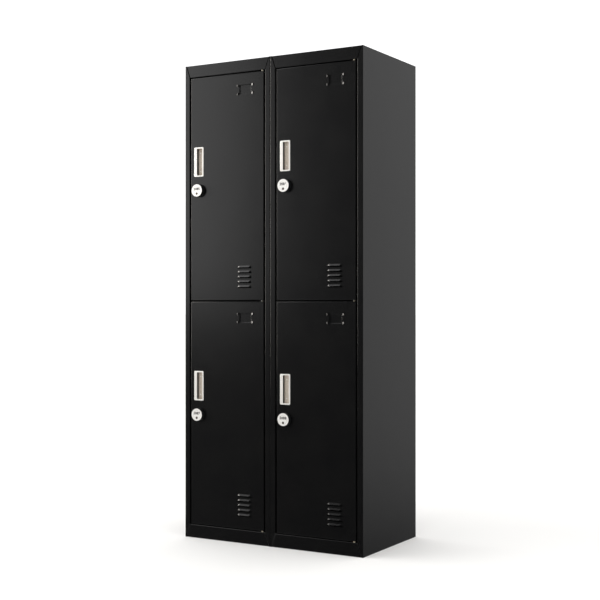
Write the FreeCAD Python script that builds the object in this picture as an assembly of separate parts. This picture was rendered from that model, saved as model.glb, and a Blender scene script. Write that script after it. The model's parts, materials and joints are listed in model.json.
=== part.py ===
"""Steel locker cabinet: two modules bolted side by side, two doors in each.

Units are millimetres. +X is to the right of a person facing the doors, the doors face -Y,
+Z is up. The origin is the middle of the footprint, at floor level, with the footprint
measured from the faces of the lock knobs to the back panel.
"""
import FreeCAD, Part
import math
import os

# ---------------------------------------------------------------- driving dimensions
# Carcass
HEIGHT = 1800.0             # floor to top
MODULE_WIDTH = 380.0        # one module
DEPTH = 450.0               # carcass, without the knobs
SHEET = 0.8                 # all panels and doors
BEND = 1.6                  # outside radius of a bend in the sheet

# Front frame
STILE_WIDTH = 22.0          # upright face each side of the doors
STILE_RETURN = 23.0         # how far the stile turns back into the carcass
STILE_LIP = 14.0            # stop lip behind the door edge
TOP_RAIL = 46.0             # height of the rail above the doors
BOTTOM_RAIL = 50.0          # height of the rail below the doors
RAIL_RETURN = 20.0          # how far the top rail turns back
MITRE_LAND = 6.0            # stile width left at the very top and bottom corners
SEAM = 0.3                  # gap of a welded or butted seam

# Hidden flanges
REAR_FLANGE = 18.0          # side panel's flange on the back
WELD_FLANGE = 14.0          # flange of a top, bottom or shelf panel
FLOOR_FLANGE = 24.0         # flange that stands on the floor
BACK_FIT = 0.3              # back panel to the bend of a side panel
SHELF_NOSE = 30.0           # front flange of the shelf

# Doors
DOOR_DEPTH = 18.0
DOOR_LIP = 12.0             # lip turned in behind the door
SIDE_GAP = 5.5              # door to stile
TOP_GAP = 4.0               # door to top rail
MID_GAP = 5.0               # door to door
BOTTOM_GAP = 4.0            # door to bottom rail
DOOR_BEND = 1.4             # outside radius of the door's front edges
STIFFENER_WIDTH = 52.0
STIFFENER_DEPTH = 13.0
STIFFENER_FLANGE = 12.0
STIFFENER_END = 45.0        # stiffener end to door end
BUFFER_DIAMETER = 9.0
BUFFER_END = 120.0          # buffer to door end
REST_GAP = 0.3              # between a moving piece and what it rests on

# Hinges
PIN_DIAMETER = 6.0
PIN_FROM_EDGE = 9.5         # pin axis to the door's hinge edge
PIN_FROM_FRONT = 6.5        # pin axis to the door's front face
PIN_REACH = 9.0             # how far a pin stands into a door
PIN_HEAD_DIAMETER = 9.0
PIN_HEAD_HEIGHT = 2.0
BUSH_DIAMETER = 10.0
RUNNING_CLEARANCE = 0.08    # radial, a shaft in its hole
LUG_THICKNESS = 1.6
LUG_RADIUS = 6.0

# Label holder, pressed out of the door
LABEL_WIDTH = 65.0
LABEL_HEIGHT = 35.0
LABEL_FROM_TOP = 61.0       # its middle to the top of the door
LABEL_FROM_HINGE = 83.5     # its middle to the hinge edge
CLIP_LEG = 10.0
CLIP_BAND = 4.0
CLIP_PROUD = 1.8

# Louvres
LOUVRE_COUNT = 5
LOUVRE_WIDTH = 60.0
LOUVRE_RIDGE = 45.0         # length of the outer edge of a hood
LOUVRE_HEIGHT = 10.5
LOUVRE_PROUD = 4.4
LOUVRE_PITCH = 18.2
LOUVRE_FROM_BOTTOM = 51.0   # the lowest one to the bottom of the door
LOUVRE_FROM_HINGE = 84.0

# Pull handle, a cup let into the door
HANDLE_FROM_FREE_EDGE = 36.5
HANDLE_FROM_BOTTOM = 526.0
HANDLE_WIDTH = 42.5
HANDLE_HEIGHT = 112.0
HANDLE_PROUD = 2.0
HANDLE_CORNER = 4.0
BEZEL = 5.0                 # visible rim of the handle
CUP_WALL = 1.2
CUP_DEPTH = 13.5            # cup floor behind the door's front face
CUP_CORNER = 2.5            # inside corners of the cup
GRIP_LIP = 4.0              # grip that overhangs the cup on the free-edge side
GRIP_THICKNESS = 2.2
CUTOUT_FIT = 0.3            # round the cup and the barrel in their cut-outs

# Knob lock
LOCK_FROM_BOTTOM = 417.0
COLLAR_DIAMETER = 49.0
COLLAR_HEIGHT = 3.0
BARREL_DIAMETER = 20.0
LOCK_NUT_FLATS = 27.0
LOCK_NUT_HEIGHT = 5.0
KNOB_DIAMETER = 47.5
KNOB_PROUD = 16.0           # knob's face in front of the door
KNOB_GAP = 0.3              # knob to collar
FACE_DIAMETER = 46.4        # metal disc let into the knob
FACE_THICKNESS = 1.2
FACE_PROUD = 0.4            # disc in front of the knob's rim
KNOB_EDGE = 0.4             # rounding of the rim
SHAFT_DIAMETER = 11.0
TENON = 7.0                 # square end of the shaft that turns the cam
CAM_REACH = 39.0            # axis to the tip of the cam
CAM_WIDTH = 16.0
CAM_THICKNESS = 2.0
CAM_GAP = 1.4               # cam to the stile's stop lip
CAM_SCREW_DIAMETER = 4.0
CAM_SCREW_HEAD = 10.5
CAM_SCREW_HEAD_HEIGHT = 2.6
CAM_SCREW_LENGTH = 9.0
PLUG_DIAMETER = 9.0
PLUG_BELOW_AXIS = 12.0
PLUG_LENGTH = 9.0
PLUG_RECESS = 0.2           # plug behind the knob's face
KEYWAY_WIDTH = 1.6
KEYWAY_LENGTH = 6.0
KEYWAY_DEPTH = 5.0

# Coat rails
RAIL_DIAMETER = 18.0
RAIL_BELOW_CEILING = 60.0
RAIL_WALL = 1.5
SOCKET_DIAMETER = 28.0
SOCKET_LENGTH = 12.0
SOCKET_WALL = 3.0

# Bolts that join the modules
JOIN_BOLT_DIAMETER = 6.0
JOIN_HEAD_DIAMETER = 13.0
JOIN_HEAD_HEIGHT = 3.3
JOIN_NUT_FLATS = 10.0
JOIN_NUT_HEIGHT = 5.0
JOIN_FROM_ENDS = 250.0      # bolt to the floor and to the top
JOIN_FROM_FACES = 70.0      # bolt to the carcass front and back
JOIN_HOLE_CLEARANCE = 0.25
JOIN_BOLT_END = 2.0         # thread that shows past the nut

# ---------------------------------------------------------------- places that follow
FRONT = -(DEPTH + KNOB_PROUD) / 2.0 + KNOB_PROUD    # front plane of the carcass
BACK = FRONT + DEPTH
DOOR_WIDTH = MODULE_WIDTH - 2.0 * (STILE_WIDTH + SIDE_GAP)
DOOR_HEIGHT = (HEIGHT - TOP_RAIL - BOTTOM_RAIL - TOP_GAP - MID_GAP - BOTTOM_GAP) / 2.0
LOWER_DOOR_Z = BOTTOM_RAIL + BOTTOM_GAP
UPPER_DOOR_Z = LOWER_DOOR_Z + DOOR_HEIGHT + MID_GAP
MID_Z = UPPER_DOOR_Z - MID_GAP / 2.0
MODULES = {"left": -MODULE_WIDTH, "right": 0.0}
TIERS = {"upper": UPPER_DOOR_Z, "lower": LOWER_DOOR_Z}
LIP_Y = FRONT + STILE_RETURN                        # front of the stop lip
SHELF_FRONT = LIP_Y + SHEET
CROSS_BACK = BACK - 2.0 * SHEET                     # back of the top, bottom and shelf panels
DOOR_LEFT = STILE_WIDTH + SIDE_GAP                  # module edge to door
PIN_X = MODULE_WIDTH - STILE_WIDTH - SIDE_GAP - PIN_FROM_EDGE
PIN_Y = FRONT + PIN_FROM_FRONT
HANDLE_X = DOOR_LEFT + HANDLE_FROM_FREE_EDGE        # handle and lock share this line
KNOB_Y = FRONT - KNOB_PROUD                         # face of the knob
CAM_Y = LIP_Y + SHEET + CAM_GAP
CEILINGS = {"upper": HEIGHT - SHEET, "lower": MID_Z - SHEET}

vec = FreeCAD.Vector


# ---------------------------------------------------------------- shape helpers
def box(x0, y0, z0, x1, y1, z1):
    """Block between two corners."""
    return Part.makeBox(x1 - x0, y1 - y0, z1 - z0, vec(x0, y0, z0))


def rod(radius, start, end):
    """Cylinder between two points."""
    along = end.sub(start)
    return Part.makeCylinder(radius, along.Length, start, along)


def joined(pieces):
    """One solid from pieces that share faces."""
    first, rest = pieces[0], pieces[1:]
    return (first.fuse(rest) if rest else first).removeSplitter()


def prism(points, along):
    """Straight extrusion of a flat polygon."""
    wire = Part.makePolygon(points + [points[0]])
    return Part.Face(wire).extrude(along)


def polyhedron(corners, faces):
    """Solid with flat faces, each a list of corner numbers."""
    made = [Part.Face(Part.makePolygon([corners[i] for i in loop + loop[:1]])) for loop in faces]
    solid = Part.Solid(Part.Shell(made))
    if solid.Volume < 0:
        solid.reverse()
    return solid


def turn_of(before, corner, after):
    """Unit directions into and out of a corner, and the signed turn between them."""
    into = (corner[0] - before[0], corner[1] - before[1])
    out = (after[0] - corner[0], after[1] - corner[1])
    a = math.hypot(*into)
    b = math.hypot(*out)
    into = (into[0] / a, into[1] / a)
    out = (out[0] / b, out[1] / b)
    turn = math.atan2(into[0] * out[1] - into[1] * out[0], into[0] * out[0] + into[1] * out[1])
    return into, out, turn


def offset_path(path, distance):
    """Path moved sideways, to its left for a positive distance."""
    moved = []
    for i, (x, y) in enumerate(path):
        before = path[i - 1] if i else None
        after = path[i + 1] if i + 1 < len(path) else None
        if before is None:
            before = (2.0 * x - after[0], 2.0 * y - after[1])
        if after is None:
            after = (2.0 * x - before[0], 2.0 * y - before[1])
        into, out, turn = turn_of(before, (x, y), after)
        stretch = distance / math.cos(turn / 2.0)
        middle = math.atan2(into[1] + out[1], into[0] + out[0])
        moved.append((x - stretch * math.sin(middle), y + stretch * math.cos(middle)))
    return moved


def rounded_edges(points, radii, place):
    """Closed outline of lines and arcs; place turns a flat point into a 3-D point."""
    count = len(points)
    runs = []
    for i in range(count):
        into, out, turn = turn_of(points[i - 1], points[i], points[(i + 1) % count])
        back = abs(radii[i] * math.tan(turn / 2.0))
        x, y = points[i]
        start = (x - into[0] * back, y - into[1] * back)
        end = (x + out[0] * back, y + out[1] * back)
        bulge = radii[i] / math.cos(turn / 2.0) - radii[i]
        aim = math.atan2(out[1] - into[1], out[0] - into[0])
        runs.append((start, (x + bulge * math.cos(aim), y + bulge * math.sin(aim)), end))
    edges = []
    for i, (start, middle, end) in enumerate(runs):
        if radii[i]:
            edges.append(Part.Arc(place(*start), place(*middle), place(*end)).toShape())
        following = runs[(i + 1) % count][0]
        edges.append(Part.LineSegment(place(*end), place(*following)).toShape())
    return edges


def folded(path, place, along):
    """Bent sheet whose metal lies to the left of the path; the path is one of its faces."""
    outline = path + offset_path(path, SHEET)[::-1]
    radii = [0.0] * len(outline)
    for i in range(1, len(path) - 1):
        bends_left = turn_of(path[i - 1], path[i], path[i + 1])[2] > 0
        radii[i] = BEND if bends_left else BEND - SHEET
        radii[-1 - i] = BEND - SHEET if bends_left else BEND
    return Part.Face(Part.Wire(rounded_edges(outline, radii, place))).extrude(along)


def mirrored(shape, x):
    """Mirror image across the plane at x."""
    return shape.mirror(vec(x, 0, 0), vec(1, 0, 0))


def hexagon_nut(flats, centre, along, hole_radius):
    """Hexagon nut, from its near face's centre, with a round hole."""
    axis = vec(along).normalize()
    third = axis.cross(vec(0, 0, 1))
    reach = flats / math.sqrt(3.0)
    ring = []
    for i in range(6):
        angle = math.radians(60.0 * i)
        ring.append(centre + vec(0, 0, 1) * (reach * math.cos(angle)) + third * (reach * math.sin(angle)))
    return prism(ring, along).cut(rod(hole_radius, centre, centre + along))


# ---------------------------------------------------------------- carcass
def mitre_cut(x, z_edge, z_corner, stile_side, y_end):
    """Prism that takes a front corner back to the mitre line, from the front face to y_end.

    The line runs from the corner of the doorway, at z_corner, to the land at z_edge.
    """
    toward = 1.0 if stile_side else -1.0            # which side of the line is removed
    slope = (MITRE_LAND - STILE_WIDTH) / (z_edge - z_corner)
    over = z_edge + math.copysign(BEND, z_edge - z_corner)
    line = [(x + STILE_WIDTH + slope * (z - z_corner) - toward * SEAM / 2.0, z) for z in (z_corner, over)]
    far = x + toward * MODULE_WIDTH / 2.0
    flat = line + [(far, over), (far, z_corner)]
    points = [vec(px, FRONT - BEND, pz) for px, pz in flat]
    return prism(points, vec(0, y_end - FRONT + BEND, 0))


def side_panel(x):
    """Left side of a module: rear flange, side, stile, stile return and stop lip.

    The return and the lip end at the rails, and the stile's face ends at the mitres.
    """
    inner = x + STILE_WIDTH
    path = [(x + REAR_FLANGE, BACK), (x, BACK), (x, FRONT), (inner, FRONT), (inner, LIP_Y),
            (inner + STILE_LIP, LIP_Y)]
    panel = folded(path, lambda px, py: vec(px, py, 0.0), vec(0, 0, HEIGHT))
    for z_edge, z_corner in ((HEIGHT, HEIGHT - TOP_RAIL), (0.0, BOTTOM_RAIL)):
        panel = panel.cut(mitre_cut(x, z_edge, z_corner, True, FRONT + BEND))
        low, high = sorted((z_edge, z_corner))
        returns = box(inner - 2.0 * BEND, FRONT + BEND, low, inner + STILE_LIP, LIP_Y + BEND, high)
        panel = panel.cut(returns)
    return panel


def mirrored_side(x):
    """Right side of a module."""
    return mirrored(side_panel(x), x + MODULE_WIDTH / 2.0)


def cross_panel(x, path):
    """Panel between the sides, folded from an outline in depth and height."""
    start = x + SHEET
    return folded(path, lambda py, pz: vec(start, py, pz), vec(MODULE_WIDTH - 2.0 * SHEET, 0, 0))


def mitred(panel, x, z_edge, z_corner):
    """Rail with both ends cut back to the mitre."""
    cut = mitre_cut(x, z_edge, z_corner, False, FRONT + BEND)
    return panel.cut([cut, mirrored(cut, x + MODULE_WIDTH / 2.0)])


def with_end_flanges(panel, x, z_plate):
    """Adds the flanges, under a panel's plate, that are welded to the sides."""
    left = box(x + SHEET, SHELF_FRONT + BEND, z_plate - WELD_FLANGE, x + 2.0 * SHEET, CROSS_BACK - BEND,
               z_plate - SHEET)
    return joined([panel, left, mirrored(left, x + MODULE_WIDTH / 2.0)])


def pin_hole(x, z):
    """Cut for a hinge pin's shank through a sheet at height z."""
    return rod(PIN_DIAMETER / 2.0 + RUNNING_CLEARANCE, vec(x + PIN_X, PIN_Y, z - BEND),
               vec(x + PIN_X, PIN_Y, z + BEND))


def top_panel(x):
    rail = HEIGHT - TOP_RAIL
    turn = FRONT + RAIL_RETURN
    path = [(CROSS_BACK, HEIGHT - WELD_FLANGE), (CROSS_BACK, HEIGHT), (FRONT, HEIGHT), (FRONT, rail),
            (turn, rail), (turn, rail + WELD_FLANGE)]
    panel = mitred(cross_panel(x, path), x, HEIGHT, rail)
    return with_end_flanges(panel, x, HEIGHT).cut(pin_hole(x, rail))


def bottom_panel(x):
    path = [(CROSS_BACK, BOTTOM_RAIL - WELD_FLANGE), (CROSS_BACK, BOTTOM_RAIL), (FRONT, BOTTOM_RAIL),
            (FRONT, 0.0), (FRONT + FLOOR_FLANGE, 0.0)]
    panel = mitred(cross_panel(x, path), x, 0.0, BOTTOM_RAIL)
    return with_end_flanges(panel, x, BOTTOM_RAIL).cut(pin_hole(x, BOTTOM_RAIL))


def shelf(x):
    """Floor of the upper compartment, welded to the stop lips, the sides and the back."""
    nose = MID_Z - SHELF_NOSE
    path = [(CROSS_BACK, MID_Z - WELD_FLANGE), (CROSS_BACK, MID_Z), (SHELF_FRONT, MID_Z),
            (SHELF_FRONT, nose), (SHELF_FRONT + WELD_FLANGE, nose)]
    return with_end_flanges(cross_panel(x, path), x, MID_Z)


def back_panel(x):
    """Back, inside the rear flanges, with a flange that stands on the floor."""
    outer = BACK - SHEET
    inset = BEND + BACK_FIT
    path = [(outer - FLOOR_FLANGE, 0.0), (outer, 0.0), (outer, HEIGHT)]
    return folded(path, lambda py, pz: vec(x + inset, py, pz), vec(MODULE_WIDTH - 2.0 * inset, 0, 0))


# ---------------------------------------------------------------- hinge hardware
def hinge_lug(x):
    """Plate on the hinge stile, between the doors, that carries the middle pin."""
    low = MID_Z - LUG_THICKNESS / 2.0
    stile = x + MODULE_WIDTH - STILE_WIDTH
    plate = box(x + PIN_X, PIN_Y - LUG_RADIUS, low, stile, PIN_Y + LUG_RADIUS, low + LUG_THICKNESS)
    nose = rod(LUG_RADIUS, vec(x + PIN_X, PIN_Y, low), vec(x + PIN_X, PIN_Y, low + LUG_THICKNESS))
    return joined([plate, nose]).cut(pin_hole(x, MID_Z))


def hinge_pins(x):
    """Headed pins above and below the doors, and the plain one between them."""
    place = [x + PIN_X, PIN_Y]
    radius = PIN_DIAMETER / 2.0
    head = PIN_HEAD_DIAMETER / 2.0
    top = HEIGHT - TOP_RAIL + SHEET
    bottom = BOTTOM_RAIL - SHEET
    door_top = UPPER_DOOR_Z + DOOR_HEIGHT
    upper = joined([rod(radius, vec(*place, door_top - PIN_REACH), vec(*place, top)),
                    rod(head, vec(*place, top), vec(*place, top + PIN_HEAD_HEIGHT))])
    lower_door_top = LOWER_DOOR_Z + DOOR_HEIGHT
    middle = rod(radius, vec(*place, lower_door_top - PIN_REACH), vec(*place, UPPER_DOOR_Z + PIN_REACH))
    lower = joined([rod(radius, vec(*place, bottom), vec(*place, LOWER_DOOR_Z + PIN_REACH)),
                    rod(head, vec(*place, bottom - PIN_HEAD_HEIGHT), vec(*place, bottom))])
    return [upper, middle, lower]


def hinge_bushes(x):
    """Nylon collars on the pins, in the gaps that the doors turn in."""
    half_lug = LUG_THICKNESS / 2.0
    spans = [(UPPER_DOOR_Z + DOOR_HEIGHT + REST_GAP, HEIGHT - TOP_RAIL),
             (MID_Z + half_lug, UPPER_DOOR_Z - REST_GAP),
             (MID_Z - MID_GAP / 2.0 + REST_GAP, MID_Z - half_lug),
             (BOTTOM_RAIL, LOWER_DOOR_Z - REST_GAP)]
    collars = []
    for low, high in spans:
        bottom, top = vec(x + PIN_X, PIN_Y, low), vec(x + PIN_X, PIN_Y, high)
        bore = rod(PIN_DIAMETER / 2.0 + RUNNING_CLEARANCE, bottom, top)
        collars.append(rod(BUSH_DIAMETER / 2.0, bottom, top).cut(bore))
    return collars


def door_buffers(x):
    """Rubber discs on the latch stile's stop lip."""
    middle = x + STILE_WIDTH + STILE_LIP - BUFFER_DIAMETER / 2.0 - SHEET
    start = FRONT + DOOR_DEPTH + REST_GAP
    heights = [z + end for z in TIERS.values() for end in (BUFFER_END, DOOR_HEIGHT - BUFFER_END)]
    return [rod(BUFFER_DIAMETER / 2.0, vec(middle, start, z), vec(middle, LIP_Y, z)) for z in heights]


# ---------------------------------------------------------------- inside the compartments
def coat_rail(x, ceiling):
    y, z = (SHELF_FRONT + CROSS_BACK) / 2.0, ceiling - RAIL_BELOW_CEILING
    start = x + SHEET + SOCKET_WALL + REST_GAP
    ends = [vec(start, y, z), vec(2.0 * x + MODULE_WIDTH - start, y, z)]
    return rod(RAIL_DIAMETER / 2.0, *ends).cut(rod(RAIL_DIAMETER / 2.0 - RAIL_WALL, *ends))


def rail_sockets(x, ceiling):
    y, z = (SHELF_FRONT + CROSS_BACK) / 2.0, ceiling - RAIL_BELOW_CEILING
    wall = x + SHEET
    mouth = vec(wall + SOCKET_LENGTH, y, z)
    cup = rod(SOCKET_DIAMETER / 2.0, vec(wall, y, z), mouth)
    bore = rod(RAIL_DIAMETER / 2.0 + REST_GAP, vec(wall + SOCKET_WALL, y, z), mouth)
    left = cup.cut(bore)
    return [left, mirrored(left, x + MODULE_WIDTH / 2.0)]


# ---------------------------------------------------------------- bolts between the modules
def join_places():
    rows = (JOIN_FROM_ENDS, HEIGHT - JOIN_FROM_ENDS)
    columns = (FRONT + JOIN_FROM_FACES, BACK - JOIN_FROM_FACES)
    return [(y, z) for z in rows for y in columns]


def join_holes():
    radius = JOIN_BOLT_DIAMETER / 2.0 + JOIN_HOLE_CLEARANCE
    return [rod(radius, vec(-BEND, y, z), vec(BEND, y, z)) for y, z in join_places()]


def join_bolt(y, z):
    tip = SHEET + JOIN_NUT_HEIGHT + JOIN_BOLT_END
    shank = rod(JOIN_BOLT_DIAMETER / 2.0, vec(-SHEET, y, z), vec(tip, y, z))
    head = rod(JOIN_HEAD_DIAMETER / 2.0, vec(-SHEET - JOIN_HEAD_HEIGHT, y, z), vec(-SHEET, y, z))
    return joined([shank, head])


def join_nut(y, z):
    radius = JOIN_BOLT_DIAMETER / 2.0 + RUNNING_CLEARANCE
    return hexagon_nut(JOIN_NUT_FLATS, vec(SHEET, y, z), vec(JOIN_NUT_HEIGHT, 0, 0), radius)


# ---------------------------------------------------------------- door
def louvre_wedge(x, base, ridge, proud, z, height):
    """Wedge on the door's face, widest and furthest out at its mouth, which is at z."""
    corners = [vec(x - base, FRONT, z + height), vec(x + base, FRONT, z + height), vec(x + base, FRONT, z),
               vec(x - base, FRONT, z), vec(x - ridge, FRONT - proud, z), vec(x + ridge, FRONT - proud, z)]
    return polyhedron(corners, [[0, 1, 2, 3], [0, 4, 5, 1], [0, 3, 4], [1, 5, 2], [3, 2, 5, 4]])


def louvre(x, z):
    """Hood with its mouth downwards, and the room inside it, open to the back of the door."""
    lean = math.atan2(LOUVRE_PROUD, LOUVRE_HEIGHT)
    base, ridge = LOUVRE_WIDTH / 2.0, LOUVRE_RIDGE / 2.0
    hood = louvre_wedge(x, base, ridge, LOUVRE_PROUD, z, LOUVRE_HEIGHT)
    inside = LOUVRE_HEIGHT - SHEET / math.sin(lean)
    room = louvre_wedge(x, base - BEND, ridge - SHEET, (inside + SHEET) * math.tan(lean), z - SHEET,
                        inside + SHEET)
    slot = box(x - base + BEND, FRONT, z, x + base - BEND, FRONT + SHEET, z + inside)
    return hood, [room, slot]


def label_clips(x, z):
    """Four raised corners that hold a name card."""
    clips = []
    for side, end in ((-1, -1), (-1, 1), (1, -1), (1, 1)):
        cx, cz = x + side * LABEL_WIDTH / 2.0, z + end * LABEL_HEIGHT / 2.0
        flat = [(0, 0), (CLIP_LEG, 0), (CLIP_LEG, CLIP_BAND), (CLIP_BAND, CLIP_BAND), (CLIP_BAND, CLIP_LEG),
                (0, CLIP_LEG)]
        points = [vec(cx - side * a, FRONT, cz - end * b) for a, b in flat]
        clips.append(prism(points, vec(0, -CLIP_PROUD, 0)))
    return clips


def door_pan(x, z):
    """Shallow pan with the front edges rounded and a lip turned in all round the back."""
    left, right, top = x + DOOR_LEFT, x + DOOR_LEFT + DOOR_WIDTH, z + DOOR_HEIGHT
    block = box(left, FRONT, z, right, FRONT + DOOR_DEPTH, top)
    front_edges = [e for e in block.Edges if e.BoundBox.YMax < FRONT + SHEET]
    hollow = box(left + SHEET, FRONT + SHEET, z + SHEET,
                 right - SHEET, FRONT + DOOR_DEPTH - SHEET, top - SHEET)
    mouth = box(left + DOOR_LIP, FRONT + SHEET, z + DOOR_LIP, right - DOOR_LIP, FRONT + DOOR_DEPTH,
                top - DOOR_LIP)
    return block.makeFillet(DOOR_BEND, front_edges).cut([hollow, mouth])


def door_panel(x, z):
    hinge_edge = x + DOOR_LEFT + DOOR_WIDTH
    added = label_clips(hinge_edge - LABEL_FROM_HINGE, z + DOOR_HEIGHT - LABEL_FROM_TOP)
    removed = [handle_cutout(x, z), lock_hole(x, z), pin_hole(x, z), pin_hole(x, z + DOOR_HEIGHT)]
    for i in range(LOUVRE_COUNT):
        mouth = z + LOUVRE_FROM_BOTTOM + i * LOUVRE_PITCH - LOUVRE_HEIGHT / 2.0
        hood, rooms = louvre(hinge_edge - LOUVRE_FROM_HINGE, mouth)
        added.append(hood)
        removed += rooms
    return joined([door_pan(x, z)] + added).cut(removed)


def door_stiffener(x, z):
    """Hat channel up the middle of the door, welded behind its face."""
    middle = x + DOOR_LEFT + DOOR_WIDTH / 2.0
    foot, crown = FRONT + SHEET, FRONT + STIFFENER_DEPTH
    outer = STIFFENER_WIDTH / 2.0
    web = outer - STIFFENER_FLANGE
    path = [(middle - outer, foot), (middle - web, foot), (middle - web, crown), (middle + web, crown),
            (middle + web, foot), (middle + outer, foot)]
    start = z + STIFFENER_END
    return folded(path, lambda px, py: vec(px, py, start), vec(0, 0, DOOR_HEIGHT - 2.0 * STIFFENER_END))


# ---------------------------------------------------------------- pull handle
def handle_block(x, z, margin, corner, y0, y1):
    """Block with rounded corners, this much larger all round than the handle's window."""
    half_w = HANDLE_WIDTH / 2.0 - BEZEL + margin
    half_h = HANDLE_HEIGHT / 2.0 - BEZEL + margin
    cx, cz = x + HANDLE_X, z + HANDLE_FROM_BOTTOM
    block = box(cx - half_w, y0, cz - half_h, cx + half_w, y1, cz + half_h)
    return block.makeFillet(corner, [e for e in block.Edges if e.BoundBox.YLength > (y1 - y0) / 2.0])


def handle_cutout(x, z):
    margin = CUP_WALL + CUTOUT_FIT
    return handle_block(x, z, margin, CUP_CORNER + margin, FRONT - BEND, FRONT + BEND)


def pull_handle(x, z):
    """Bezel on the door, cup behind it, and the grip that overhangs the cup."""
    bezel = handle_block(x, z, BEZEL, HANDLE_CORNER, FRONT - HANDLE_PROUD, FRONT)
    cup = handle_block(x, z, CUP_WALL, CUP_CORNER + CUP_WALL, FRONT, FRONT + CUP_DEPTH + CUP_WALL)
    window = handle_block(x, z, 0.0, CUP_CORNER, FRONT - HANDLE_PROUD, FRONT + CUP_DEPTH)
    edge = x + HANDLE_X - HANDLE_WIDTH / 2.0 + BEZEL
    middle = z + HANDLE_FROM_BOTTOM
    half = HANDLE_HEIGHT / 2.0 - BEZEL
    grip = box(edge, FRONT - HANDLE_PROUD, middle - half, edge + GRIP_LIP,
               FRONT - HANDLE_PROUD + GRIP_THICKNESS, middle + half)
    return joined([joined([bezel, cup]).cut(window), grip])


# ---------------------------------------------------------------- knob lock
def lock_axis(x, z, y):
    """Point on the lock's axis."""
    return vec(x + HANDLE_X, y, z + LOCK_FROM_BOTTOM)


def on_axis(x, z, diameter, y0, y1):
    """Cylinder on the lock's axis."""
    return rod(diameter / 2.0, lock_axis(x, z, y0), lock_axis(x, z, y1))


def lock_hole(x, z):
    return on_axis(x, z, BARREL_DIAMETER + 2.0 * CUTOUT_FIT, FRONT - BEND, FRONT + BEND)


def lock_body(x, z):
    """Collar on the door and the barrel through it, with the knob's shaft hole."""
    end = CAM_Y - REST_GAP
    collar = on_axis(x, z, COLLAR_DIAMETER, FRONT - COLLAR_HEIGHT, FRONT)
    barrel = on_axis(x, z, BARREL_DIAMETER, FRONT, end)
    bore = on_axis(x, z, SHAFT_DIAMETER + 2.0 * RUNNING_CLEARANCE, FRONT - COLLAR_HEIGHT, end)
    return joined([collar, barrel]).cut(bore)


def lock_nut(x, z):
    radius = BARREL_DIAMETER / 2.0 + RUNNING_CLEARANCE
    return hexagon_nut(LOCK_NUT_FLATS, lock_axis(x, z, FRONT + SHEET), vec(0, LOCK_NUT_HEIGHT, 0), radius)


def plug_room(x, z, y0, y1, clearance):
    """Cylinder round the key plug's axis."""
    below = vec(0, 0, -PLUG_BELOW_AXIS)
    start, end = lock_axis(x, z, y0).add(below), lock_axis(x, z, y1).add(below)
    return rod(PLUG_DIAMETER / 2.0 + clearance, start, end)


def lock_knob(x, z):
    """Knob with its shaft, the square end that turns the cam, and the cam screw's hole."""
    rim = KNOB_Y + FACE_PROUD
    disc = on_axis(x, z, KNOB_DIAMETER, rim, FRONT - COLLAR_HEIGHT - KNOB_GAP)
    disc = disc.makeFillet(KNOB_EDGE, [e for e in disc.Edges if e.BoundBox.YMax < rim + KNOB_EDGE])
    shaft = on_axis(x, z, SHAFT_DIAMETER, FRONT - COLLAR_HEIGHT - KNOB_GAP, CAM_Y)
    middle = lock_axis(x, z, CAM_Y)
    half = TENON / 2.0
    tenon = box(middle.x - half, CAM_Y, middle.z - half, middle.x + half, CAM_Y + CAM_THICKNESS,
                middle.z + half)
    seat = on_axis(x, z, FACE_DIAMETER + 2.0 * RUNNING_CLEARANCE, rim, KNOB_Y + FACE_THICKNESS)
    plug = plug_room(x, z, KNOB_Y, KNOB_Y + PLUG_RECESS + PLUG_LENGTH + REST_GAP, RUNNING_CLEARANCE)
    screw_seat = CAM_Y + CAM_THICKNESS
    screw_bore = CAM_SCREW_DIAMETER + 2.0 * RUNNING_CLEARANCE
    screw = on_axis(x, z, screw_bore, screw_seat - CAM_SCREW_LENGTH, screw_seat)
    return joined([disc, shaft, tenon]).cut([seat, plug, screw])


def knob_face(x, z):
    """Metal disc let into the front of the knob."""
    disc = on_axis(x, z, FACE_DIAMETER, KNOB_Y, KNOB_Y + FACE_THICKNESS)
    return disc.cut(plug_room(x, z, KNOB_Y, KNOB_Y + FACE_THICKNESS, RUNNING_CLEARANCE))


def key_plug(x, z):
    """Plug that the key turns, with its keyway."""
    face = KNOB_Y + PLUG_RECESS
    plug = plug_room(x, z, face, face + PLUG_LENGTH, 0.0)
    middle = lock_axis(x, z, face).add(vec(0, 0, -PLUG_BELOW_AXIS))
    keyway = box(middle.x - KEYWAY_WIDTH / 2.0, face, middle.z - KEYWAY_LENGTH / 2.0,
                 middle.x + KEYWAY_WIDTH / 2.0, face + KEYWAY_DEPTH, middle.z + KEYWAY_LENGTH / 2.0)
    return plug.cut(keyway)


def lock_cam(x, z):
    """Cam in the unlocked position, hanging straight down."""
    middle = lock_axis(x, z, CAM_Y)
    half = CAM_WIDTH / 2.0
    arm = box(middle.x - half, CAM_Y, middle.z - CAM_REACH, middle.x + half, CAM_Y + CAM_THICKNESS, middle.z)
    hub = on_axis(x, z, CAM_WIDTH, CAM_Y, CAM_Y + CAM_THICKNESS)
    square = TENON / 2.0 + RUNNING_CLEARANCE
    hole = box(middle.x - square, CAM_Y, middle.z - square, middle.x + square, CAM_Y + CAM_THICKNESS,
               middle.z + square)
    return joined([arm, hub]).cut(hole)


def cam_screw(x, z):
    seat = CAM_Y + CAM_THICKNESS
    head = on_axis(x, z, CAM_SCREW_HEAD, seat, seat + CAM_SCREW_HEAD_HEIGHT)
    return joined([head, on_axis(x, z, CAM_SCREW_DIAMETER, seat - CAM_SCREW_LENGTH, seat)])


# ---------------------------------------------------------------- every node
DOOR_NODES = {"door_panel": door_panel, "door_stiffener": door_stiffener, "pull_handle": pull_handle,
              "lock_body": lock_body, "lock_nut": lock_nut, "lock_knob": lock_knob,
              "knob_face": knob_face, "key_plug": key_plug, "lock_cam": lock_cam, "cam_screw": cam_screw}


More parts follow.
